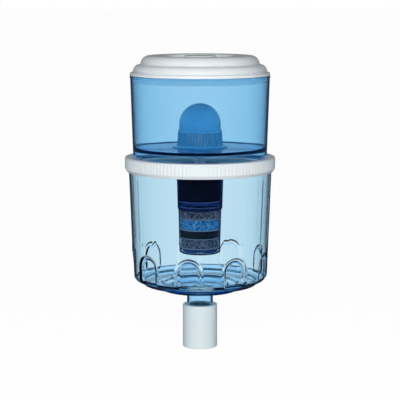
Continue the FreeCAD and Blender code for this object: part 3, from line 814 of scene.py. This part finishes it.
def has_been(add, paths, depth):
    """1 for light whose path has had a bounce of this kind, otherwise 0."""
    return calculated(add, "GREATER_THAN", paths.outputs[depth], 0.5)


def glow(add, kind, colour, strength):
    return add(kind, {"Color": (*colour, 1), "Strength": strength}).outputs[0]


def blend(add, share, first, second):
    return add("ShaderNodeMixShader", {0: share, 1: first, 2: second}).outputs[0]


def world():
    """White behind the object, and a grey room that the plastic is lit by and reflects."""
    made = bpy.data.worlds.new("studio")
    bpy.context.scene.world = made
    made.use_nodes = True
    made.node_tree.nodes.clear()
    add = node_adder(made.node_tree)

    def background(colour, strength):
        return glow(add, "ShaderNodeBackground", colour, strength)

    direction = add("ShaderNodeTexCoord").outputs["Generated"]
    height = add("ShaderNodeSeparateXYZ", {"Vector": direction}).outputs["Z"]
    paths = add("ShaderNodeLightPath")
    outside = background(ROOM_COLOUR, spread(add, height, *ROOM_RANGE, ROOM_LIGHT, CEILING_LIGHT))
    inside = background(WHITE, INSIDE_LIGHT)
    room = blend(add, has_been(add, paths, "Transmission Depth"), outside, inside)
    mirrored = background(MIRRORED_COLOUR, front_to_back(add, direction, paths, MIRRORED_BACK, INNER_BACK))
    through = background(WHITE, spread(add, height, *HORIZON_RANGE, THROUGH_GLOW, OVERHEAD_GLOW))
    mix = blend(add, has_been(add, paths, "Glossy Depth"), through, mirrored)
    mix = blend(add, has_been(add, paths, "Diffuse Depth"), mix, room)
    mix = blend(add, paths.outputs["Is Camera Ray"], mix, background(WHITE, 1.0))
    add("ShaderNodeOutputWorld", {"Surface": mix})


def floor():
    """Pale floor that looks white and keeps a soft shadow.

    Through clear plastic it is bluish and dimmer near the object, a painted shade, and in a reflection it
    is dark blue.
    """
    size = FLOOR_HALF_SIZE
    corners = [(-size, -size, 0), (size, -size, 0), (size, size, 0), (-size, size, 0)]
    made = mesh_object("floor", corners, [(0, 1, 2, 3)])
    made.location.z = -FLOOR_DROP
    material, tree, shader, add = node_material("floor")
    shader.inputs["Base Color"].default_value = (*FLOOR_COLOUR, 1)
    shader.inputs["Roughness"].default_value = 0.9
    paths = add("ShaderNodeLightPath")
    camera_ray = paths.outputs["Is Camera Ray"]
    distance = add("ShaderNodeVectorMath", {0: position(add)}, operation="LENGTH").outputs["Value"]
    # Painted shade: seen through clear plastic, the floor is drawn bluish and dimmer near the object
    painted_shade = colour_between(add, spread(add, distance, *NEAR_FLOOR_METRES), NEAR_FLOOR_PAINTED_SHADE, WHITE)
    dimmed = add("ShaderNodeEmission", {"Color": painted_shade, "Strength": THROUGH_GLOW}).outputs[0]
    direction = add("ShaderNodeVectorMath", {0: position(add)}, operation="NORMALIZE").outputs["Vector"]
    mirrored = glow(add, "ShaderNodeEmission", MIRRORED_FLOOR_COLOUR,
                    front_to_back(add, direction, paths, MIRRORED_FLOOR, INNER_FLOOR))
    clear = blend(add, has_been(add, paths, "Glossy Depth"), dimmed, mirrored)
    lit = calculated(add, "MAXIMUM", has_been(add, paths, "Diffuse Depth"), camera_ray)
    mix = blend(add, lit, clear, shader.outputs[0])
    seen = calculated(add, "MULTIPLY", camera_ray, FLOOR_GLOW)
    mix = blend(add, seen, mix, glow(add, "ShaderNodeEmission", WHITE, WHITE_GLOW))
    tree.links.new(mix, tree.nodes["Material Output"].inputs["Surface"])
    made.data.materials.append(material)


def lamp(name, kind, place, power):
    """New lamp, as its data and its object."""
    data = bpy.data.lights.new(name, kind)
    data.energy = power
    made = bpy.data.objects.new(name, data)
    made.location = place
    bpy.context.scene.collection.objects.link(made)
    return data, made


def lights():
    """A large soft lamp that no reflection shows, and a small one that makes a highlight."""
    key, made = lamp("key", "AREA", KEY_PLACE, KEY_POWER)
    key.shape = "RECTANGLE"
    key.size = KEY_SIZE
    key.size_y = KEY_SIZE
    made.rotation_euler = (Vector(KEY_AIM) - Vector(KEY_PLACE)).to_track_quat("-Z", "Y").to_euler()
    made.visible_glossy = False
    made.visible_transmission = False
    glint, made = lamp("glint", "POINT", GLINT_PLACE, GLINT_POWER)
    glint.shadow_soft_size = GLINT_RADIUS


make_camera()
lower_tank()
upper_tank()
support_ring()
lid()
outlet_sleeve()
cartridge()
carry_over()
world()
floor()
lights()

scene = bpy.context.scene
scene.view_settings.view_transform = "Standard"
scene.cycles.max_bounces = 32
scene.cycles.transmission_bounces = 28
scene.cycles.glossy_bounces = 6
